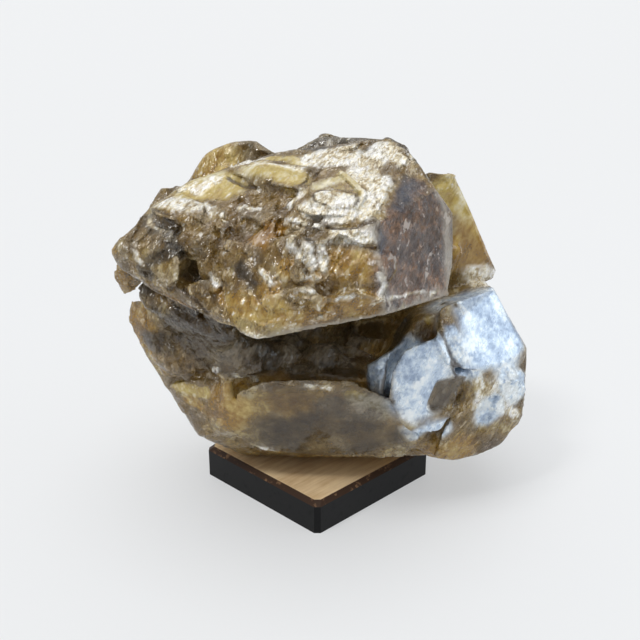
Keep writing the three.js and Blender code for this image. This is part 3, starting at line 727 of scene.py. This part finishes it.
class Value:
    """A shader socket that takes part in Python expressions."""

    def __init__(self, tree, socket):
        self.tree = tree
        self.socket = socket

    def math(self, operation, *inputs):
        return Shader(self.tree).node("ShaderNodeMath", {"operation": operation}, *inputs)

    def __add__(self, other):
        return self.math("ADD", self, other)

    def __sub__(self, other):
        return self.math("SUBTRACT", self, other)

    def __rsub__(self, other):
        return self.math("SUBTRACT", other, self)

    def __mul__(self, other):
        return self.math("MULTIPLY", self, other)

    __radd__ = __add__
    __rmul__ = __mul__

    def absolute(self):
        return self.math("ABSOLUTE", self)

    def clamped(self):
        return Shader(self.tree).node("ShaderNodeClamp", {}, self)

    def between(self, low, high):
        """0 below low, 1 above high and smooth between them."""
        return Shader(self.tree).node(
            "ShaderNodeMapRange", {"interpolation_type": "SMOOTHSTEP"}, self, low, high, 0.0, 1.0
        )


class Shader:
    """Adds nodes to one material, or to the world."""

    def __init__(self, tree):
        self.tree = tree

    def node(self, kind, settings, *inputs, output=0, **named):
        """A new node of that kind. Its settings come first, then its sockets by order or by name. Gives one
        of its outputs, or a list where several are named."""
        made = self.tree.nodes.new(kind)
        for key, value in settings.items():
            if key == "stops":
                self.set_stops(made.color_ramp, value)
            else:
                setattr(made, key, value)
        for index, value in enumerate(inputs):
            self.set_socket(made.inputs[index], value)
        for key, value in named.items():
            self.set_socket(made.inputs[key.replace("_", " ")], value)
        if isinstance(output, tuple):
            return [Value(self.tree, made.outputs[name]) for name in output]
        return Value(self.tree, made.outputs[output]) if made.outputs else None

    def set_socket(self, socket, value):
        if isinstance(value, Value):
            self.tree.links.new(value.socket, socket)
        elif socket.type == "RGBA" and value is not None:
            socket.default_value = (*value, 1)
        elif value is not None:
            socket.default_value = value

    @staticmethod
    def set_stops(ramp, stops):
        while len(ramp.elements) < len(stops):
            ramp.elements.new(1.0)
        for element, (place, colour) in zip(ramp.elements, stops):
            element.position = place
            element.color = (*colour, 1)

    def mask(self, name):
        """One of the finishes that are written on the mesh."""
        return self.node("ShaderNodeAttribute", {"attribute_name": name}, output="Fac")

    def place(self):
        """The place in the object's own space, in metres."""
        return self.node("ShaderNodeTexCoord", {}, output="Object")

    def pointiness(self):
        """About 0.5 on flat ground, more on edges and less in hollows."""
        return self.node("ShaderNodeNewGeometry", {}, output="Pointiness")

    def split(self, vector, axis):
        return self.node("ShaderNodeSeparateXYZ", {}, vector, output=axis)

    def turned(self, place, rotation, scale):
        """Places in a turned frame, stretched along its axes, for a grain that runs one way."""
        inverse = {"vector_type": "TEXTURE"}
        return self.node("ShaderNodeMapping", inverse, place, Rotation=rotation, Scale=scale)

    def noise(self, place, size, detail=3.0, roughness=0.5, distortion=0.0):
        """Noise from 0 to 1 with features of about that many millimetres."""
        return self.node(
            "ShaderNodeTexNoise", {}, Vector=place, Scale=1 / (size * MM), Detail=detail,
            Roughness=roughness, Distortion=distortion,
        )

    def facets(self, place, size):
        """Tilted flats about that many millimetres across: their height, and a random number for each."""
        centre, colour = self.node(
            "ShaderNodeTexVoronoi", {}, Vector=place, Scale=1 / (size * MM), output=("Position", "Color")
        )
        away = self.vector("SUBTRACT", place, centre)
        lean = self.vector("SUBTRACT", colour, (0.5, 0.5, 0.5))
        height = self.vector("DOT_PRODUCT", away, lean, output="Value")
        number = self.node("ShaderNodeSeparateColor", {}, colour)
        return SimpleNamespace(height=height, number=number)

    def vector(self, operation, *inputs, output=0):
        return self.node("ShaderNodeVectorMath", {"operation": operation}, *inputs, output=output)

    def ramp(self, value, *stops):
        return self.node("ShaderNodeValToRGB", {"stops": stops}, value)

    def mix(self, factor, first, second):
        """A mix of two colours."""
        unused = [None] * 5
        return self.node("ShaderNodeMix", {"data_type": "RGBA"}, factor, *unused, first, second, output=2)


def material(name):
    """An empty material and its shader builder."""
    made = bpy.data.materials.new(name)
    made.use_nodes = True
    made.node_tree.nodes.clear()
    return made, Shader(made.node_tree)


# ---------- materials ----------

BARITE_IOR = 1.64
CLEAR_TINT = (0.97, 0.95, 0.90)
INSIDE_TINT = (0.90, 0.77, 0.38)
INSIDE_DENSITY = 90.0  # per metre
CLEAR_SHARE = 0.40  # how much of the bare crystal is see-through
# How much each finish takes from that share.
CLOUDED = {
    "honey": 0.1, "amber": 0.4, "straw": 0.1, "dark": 0.2, "white": 0.6, "pearl": 0.4, "dark_face": 0.15,
    "grey": 0.15,
}

# The colours of each finish, from its darkest places to its lightest.
TONES = {
    "body": (
        (0.37, (0.085, 0.045, 0.008)), (0.46, (0.20, 0.118, 0.024)), (0.53, (0.34, 0.22, 0.058)),
        (0.61, (0.62, 0.50, 0.22)),
    ),
    "drab": ((0.37, (0.070, 0.056, 0.040)), (0.49, (0.22, 0.19, 0.14)), (0.61, (0.54, 0.49, 0.39))),
    "honey": ((0.37, (0.15, 0.070, 0.008)), (0.49, (0.41, 0.225, 0.032)), (0.61, (0.76, 0.56, 0.17))),
    # Dark: the smoky crystal's own colour, and painted shade in the recess and under the overhang.
    "dark": ((0.39, (0.012, 0.009, 0.005)), (0.51, (0.038, 0.028, 0.016)), (0.62, (0.14, 0.105, 0.060))),
    "straw": ((0.40, (0.46, 0.30, 0.055)), (0.49, (0.70, 0.54, 0.15)), (0.57, (0.88, 0.80, 0.52))),
    "amber": ((0.38, (0.08, 0.030, 0.001)), (0.50, (0.25, 0.115, 0.004)), (0.60, (0.50, 0.29, 0.03))),
    "grey": ((0.38, (0.026, 0.022, 0.017)), (0.50, (0.095, 0.082, 0.062)), (0.61, (0.32, 0.29, 0.24))),
    "ink": ((0.40, (0.006, 0.008, 0.013)), (0.60, (0.05, 0.065, 0.10))),
    "face": ((0.38, (0.018, 0.013, 0.015)), (0.49, (0.070, 0.046, 0.040)), (0.60, (0.24, 0.14, 0.085))),
    "rust": ((0.38, (0.030, 0.012, 0.006)), (0.60, (0.30, 0.14, 0.060))),
    "frost": (
        (0.40, (0.42, 0.33, 0.20)), (0.46, (0.74, 0.65, 0.45)), (0.51, (0.90, 0.87, 0.77)),
        (0.58, (0.97, 0.96, 0.94)),
    ),
    # The plates' painted blue-white reflection.
    "pearl": (
        (0.40, (0.30, 0.38, 0.51)), (0.48, (0.50, 0.60, 0.73)), (0.54, (0.70, 0.79, 0.87)),
        (0.60, (0.90, 0.94, 0.96)),
    ),
}
# Painted highlight on the convex ridges.
RIDGE_HIGHLIGHT_COLOUR = (0.78, 0.70, 0.52)
LINE_COLOUR = (0.17, 0.11, 0.055)
DARK_SPECK_COLOUR = (0.025, 0.016, 0.008)
# Painted sparkle highlight.
SPARKLE_HIGHLIGHT_COLOUR = (0.92, 0.89, 0.82)
GLINT_COLOUR = (0.62, 0.57, 0.53)
# Painted highlight along the crisp edges.
EDGE_HIGHLIGHT_COLOUR = (0.62, 0.57, 0.48)
PEARL_FROST_COLOUR = (0.93, 0.96, 0.95)
CRACK_COLOUR = (0.060, 0.036, 0.018)


def grain_turn(grain):
    """A crystal's own axes as Euler angles."""
    return Matrix(frame_of(grain).T.tolist()).to_euler()


def barite_grain(shader):
    """The textures that the barite's colour and relief share."""
    place = shader.place()
    upright = shader.turned(place, (0.12, 0.1, 0), (1.0, 1.0, 5.0))
    streaked = shader.turned(place, grain_turn(UPPER_GRAIN), (4.0, 1.0, 1.0))
    grown = shader.turned(place, grain_turn(UPPER_GRAIN), (1.8, 1.0, 1.0))
    wander = (shader.noise(grown, 1.5, 4, 0.55, 0.8) - 0.5).absolute()
    return SimpleNamespace(
        height=shader.split(place, "Z"),
        broad=shader.noise(place, 12, 3, 0.5, 0.4),
        cloud=shader.noise(place, 5.5, 3, 0.5),
        mottle=shader.noise(place, 2.4, 4, 0.6),
        fine_mottle=shader.noise(place, 1.0, 2, 0.6),
        streak=shader.noise(streaked, 2.4, 4, 0.62, 0.6),
        fine_streak=shader.noise(streaked, 0.8, 3, 0.6, 0.4),
        fibre=shader.noise(upright, 1.3, 4, 0.65),
        lines=1 - wander.between(0.0, 0.035),
        ridge_highlights=shader.pointiness().between(0.512, 0.55),
        large_facets=shader.facets(grown, 2.6),
        facets=shader.facets(grown, 1.1),
        small_facets=shader.facets(grown, 0.42),
    )


def body_colour(shader, mask, grain):
    """The colour of the barite under its frosting."""
    number = grain.small_facets.number
    # Each broken flat is a little lighter or darker: partly uneven tone, partly painted light on its facet.
    chip = 0.5 * grain.large_facets.number + 0.3 * grain.facets.number + 0.2 * number - 0.5
    tone = (
        0.4 * grain.broad + 0.3 * grain.streak + 0.15 * grain.mottle + 0.15 * grain.fine_streak
        + 0.05 * mask["shade"] + 0.07 * chip * (1 - mask["gloss"])
    )
    face_tone = 0.45 * grain.fibre + 0.25 * grain.broad + 0.2 * grain.mottle + 0.1 * number
    face, rust = (shader.ramp(face_tone, *TONES[name]) for name in ("face", "rust"))
    face = shader.mix(grain.broad.between(0.48, 0.60) * 0.5, face, rust)
    colour = shader.ramp(tone, *TONES["body"])
    colour = shader.mix(grain.cloud.between(0.46, 0.62) * 0.38, colour, shader.ramp(tone, *TONES["drab"]))
    for name, strength in (("honey", 0.9), ("dark", 0.9), ("straw", 0.9), ("amber", 0.95)):
        colour = shader.mix(mask[name] * strength, colour, shader.ramp(tone, *TONES[name]))
    colour = shader.mix(mask["dark_face"], colour, face)
    for name, strength in (("grey", 0.85), ("ink", 0.9)):
        colour = shader.mix(mask[name] * strength, colour, shader.ramp(tone, *TONES[name]))
    # Painted highlight: the convex ridges are lightened as if they caught the light.
    return shader.mix(mask["bare"] * grain.ridge_highlights * 0.25, colour, RIDGE_HIGHLIGHT_COLOUR)


def whiteness(mask, grain):
    """How much frosting and dust there is, from 0 to 1."""
    flakes = 0.3 * grain.streak + 0.3 * grain.fine_streak + 0.2 * grain.mottle + 0.2 * grain.facets.number
    flakes = flakes + 0.05 * mask["shade"]
    dusting = flakes.between(0.56, 0.62) * (0.2 * mask["bare"])
    return (mask["frost"] * (0.55 + 0.45 * flakes.between(0.38, 0.50)) + dusting).clamped()


def frosted(shader, colour, mask, grain):
    """The colour with the frosting on it, and the thin dark lines that run through both."""
    number = grain.small_facets.number
    tone = 0.3 * grain.cloud + 0.3 * grain.mottle + 0.3 * grain.fine_streak + 0.1 * number
    colour = shader.mix(mask["white"], colour, shader.ramp(tone, *TONES["frost"]))
    lines = grain.lines * (0.30 + 0.25 * mask["frost"]) * (1 - mask["gloss"]) * (1 - 0.6 * mask["straw"])
    return shader.mix(lines, colour, LINE_COLOUR)


def with_specks_and_sparkles(shader, colour, mask, grain):
    """The colour with dark specks and painted sparkles on the upper crystals, and painted glints on the dark
    face.
    """
    number = grain.small_facets.number
    upper = 0.1 + 0.9 * grain.height.between(BETWEEN_CRYSTALS * MM, (BETWEEN_CRYSTALS + 5) * MM)
    crumbled = (1 - mask["gloss"]) * upper * (1 - 0.75 * mask["dark_face"])
    sparkle_zone = 0.5 * grain.mottle + 0.3 * grain.streak + 0.2 * grain.fine_streak
    sparkle_zone = sparkle_zone.between(0.50, 0.57) * crumbled
    speck_zone = 1 - (0.6 * grain.mottle + 0.4 * grain.streak).between(0.42, 0.49)
    speck_zone = speck_zone * crumbled * (1 - mask["straw"])
    glints = grain.facets.number.between(0.90, 0.94) * grain.mottle.between(0.50, 0.58) * mask["dark_face"]
    colour = shader.mix((1 - number.between(0.14, 0.20)) * speck_zone * 0.45, colour, DARK_SPECK_COLOUR)
    # Painted sparkle highlights: small bright flecks, as if facets caught the light.
    colour = shader.mix(number.between(0.84, 0.88) * sparkle_zone * 0.75, colour, SPARKLE_HIGHLIGHT_COLOUR)
    return shader.mix(glints * 0.7, colour, GLINT_COLOUR)


def with_plate_reflection(shader, colour, mask, grain):
    """The colour with the plates' painted blue-white reflection, and white where they are frosted."""
    tone = 0.4 * grain.cloud + 0.3 * grain.mottle + 0.3 * grain.fine_mottle
    colour = shader.mix(mask["pearl"] * (1 - mask["dark"]), colour, shader.ramp(tone, *TONES["pearl"]))
    frost = mask["pearl"] * mask["frost"] * grain.mottle.between(0.40, 0.54) * 0.9
    return shader.mix(frost, colour, PEARL_FROST_COLOUR)


def barite_bump(shader, mask, grain):
    """The finest relief: small flats, and streaks along the grain."""
    breaks = 0.4 * grain.large_facets.height + 0.55 * grain.facets.height * (1 - 0.7 * mask["dark_face"])
    breaks = breaks * (1 - 0.6 * mask["frost"]) + grain.small_facets.height * (0.4 + 0.2 * mask["frost"])
    streaks = grain.fine_streak * (0.16 + 0.40 * mask["frost"]) + 0.45 * grain.streak * mask["frost"]
    streaks = streaks + 0.35 * grain.fibre * mask["dark_face"]
    relief = breaks * (1 - 0.6 * mask["straw"]) + streaks * MM
    return shader.node(
        "ShaderNodeBump", {}, Strength=1.0, Distance=1.0, Height=relief * (1 - 0.9 * mask["gloss"])
    )


def barite_material():
    made, shader = material("barite_smoky_honey")
    grain = barite_grain(shader)
    mask = {name: shader.mask(name) for name in (*(PATCHES | STROKES), "shade")}
    mask["bare"] = (1 - mask["dark"]) * (1 - mask["gloss"]) * (1 - mask["dark_face"])
    mask["white"] = whiteness(mask, grain)
    colour = body_colour(shader, mask, grain)
    colour = frosted(shader, colour, mask, grain)
    colour = with_specks_and_sparkles(shader, colour, mask, grain)
    # Painted highlight along the crisp edges.
    colour = shader.mix(mask["edge"] * 0.6, colour, EDGE_HIGHLIGHT_COLOUR)
    colour = with_plate_reflection(shader, colour, mask, grain)
    colour = shader.mix(mask["crack"] * 0.85, colour, CRACK_COLOUR)
    roughness = 0.13 + 0.14 * mask["white"] + 0.14 * mask["pearl"] + 0.12 * mask["dark_face"]
    roughness = (roughness + 0.16 * (grain.fine_streak - 0.4)).clamped()
    bump = barite_bump(shader, mask, grain)
    body = shader.node(
        "ShaderNodeBsdfPrincipled", {}, Base_Color=colour, Roughness=roughness, IOR=BARITE_IOR,
        Metallic=0.35 * mask["pearl"] + 0.15 * mask["white"], Normal=bump,
    )
    clear = shader.node(
        "ShaderNodeBsdfPrincipled", {}, Base_Color=CLEAR_TINT, Roughness=(roughness - 0.08).clamped(),
        IOR=BARITE_IOR, Transmission_Weight=1.0, Normal=bump,
    )
    clear_share = CLEAR_SHARE
    for name, share in CLOUDED.items():
        clear_share = clear_share - share * mask[name]
    surface = shader.node("ShaderNodeMixShader", {}, clear_share.clamped(), body, clear)
    inside = shader.node("ShaderNodeVolumeAbsorption", {}, Color=INSIDE_TINT, Density=INSIDE_DENSITY)
    shader.node("ShaderNodeOutputMaterial", {}, surface, inside)
    return made


# The block's finishes: bare wood on top, brown where its chamfer is rubbed, and black paint on its sides.
WOOD = ((0.38, (0.66, 0.45, 0.24)), (0.60, (0.88, 0.67, 0.41)))
CHAMFER_PAINT = (0.045, 0.022, 0.012)
CHAMFER_WORN = (0.20, 0.11, 0.055)
SIDE_PAINT = (0.003, 0.003, 0.0035)


def block_material():
    made, shader = material("block_painted_wood")
    place = shader.place()
    up = shader.split(shader.node("ShaderNodeNewGeometry", {}, output="Normal"), "Z")
    top = up.between(0.93, 0.97)
    side = 1 - up.between(0.2, 0.4)
    along = shader.turned(place, (0, 0, math.radians(45)), (9.0, 1.0, 1.0))
    grain = 0.6 * shader.noise(along, 1.1, 5, 0.6, 0.3) + 0.4 * shader.noise(place, 9, 3, 0.5)
    rubbed = shader.noise(place, 2.0, 4, 0.65).between(0.56, 0.66)
    colour = shader.mix(rubbed, CHAMFER_PAINT, CHAMFER_WORN)
    colour = shader.mix(top, colour, shader.ramp(grain, *WOOD))
    colour = shader.mix(side, colour, SIDE_PAINT)
    body = shader.node(
        "ShaderNodeBsdfPrincipled", {}, Base_Color=colour, Roughness=0.42 + 0.22 * top + 0.1 * rubbed,
        Specular_IOR_Level=0.2,
    )
    shader.node("ShaderNodeOutputMaterial", {}, body)
    return made


# ---------- the setting ----------


FLOOR_REACH = 6.0  # metres from the middle to each side
FLOOR_COLOUR = (0.33, 0.335, 0.34)
FLOOR_GLOW = (0.98, 0.99, 1.0)


def add_floor():
    reach = FLOOR_REACH
    mesh = bpy.data.meshes.new("floor")
    mesh.from_pydata(
        [(-reach, -reach, 0), (reach, -reach, 0), (reach, reach, 0), (-reach, reach, 0)], [], [(0, 1, 2, 3)]
    )
    floor = bpy.data.objects.new("floor", mesh)
    bpy.context.scene.collection.objects.link(floor)
    made, shader = material("floor_pale")
    body = shader.node(
        "ShaderNodeBsdfPrincipled", {}, Base_Color=FLOOR_COLOUR, Roughness=0.7, Emission_Color=FLOOR_GLOW,
        Emission_Strength=0.425,
    )
    shader.node("ShaderNodeOutputMaterial", {}, body)
    mesh.materials.append(made)


def aimed(lamp, aim):
    """Puts a light in the scene, shining along aim."""
    light = bpy.data.objects.new(lamp.name, lamp)
    light.rotation_euler = Vector(aim).to_track_quat("-Z", "Y").to_euler()
    bpy.context.scene.collection.objects.link(light)
    return light


def add_window(place, target, size, power, colour):
    """A soft rectangular light that faces a point. Places are in millimetres and power is in watts."""
    lamp = bpy.data.lights.new("window", "AREA")
    lamp.shape = "RECTANGLE"
    lamp.size, lamp.size_y = (side * MM for side in size)
    lamp.energy = power
    lamp.color = colour
    aimed(lamp, Vector(target) - Vector(place)).location = Vector(place) * MM


def add_sun(name, aim, strength, spread, colour):
    """A wide soft light from far away that shines along aim. Its spread is in degrees."""
    lamp = bpy.data.lights.new(name, "SUN")
    lamp.energy = strength
    lamp.angle = math.radians(spread)
    lamp.color = colour
    aimed(lamp, aim)


def add_world():
    """A pale room: bright above and behind the specimen, and dimmer on the camera's side."""
    world = bpy.data.worlds.new("studio")
    bpy.context.scene.world = world
    world.use_nodes = True
    world.node_tree.nodes.clear()
    shader = Shader(world.node_tree)
    direction = shader.node("ShaderNodeTexCoord", {}, output="Generated")
    backward = shader.split(direction, "Y")
    upward = shader.split(direction, "Z")
    strength = 0.20 + 0.5 * upward.between(0.0, 0.9) + 0.25 * backward.between(-0.3, 0.8)
    background = shader.node("ShaderNodeBackground", {}, Color=(0.96, 0.98, 1.0), Strength=strength)
    shader.node("ShaderNodeOutputWorld", {}, background)


add_camera()
barite_piece = barite()
barite_piece.data.materials.clear()
barite_piece.data.materials.append(barite_material())
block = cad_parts["display_block"]
block.data.materials.clear()
block.data.materials.append(block_material())
add_floor()
add_world()
add_sun("key", aim=(0.45, 0.35, -0.82), strength=1.0, spread=12, colour=(1.0, 0.985, 0.96))
add_sun("overhead", aim=(0.0, 0.05, -1.0), strength=1.2, spread=50, colour=(1.0, 1.0, 1.0))
add_window((420, -60, 75), target=(20, -10, 45), size=(240, 260), power=0.35, colour=(0.80, 0.90, 1.0))
bpy.context.scene.view_settings.view_transform = "Standard"
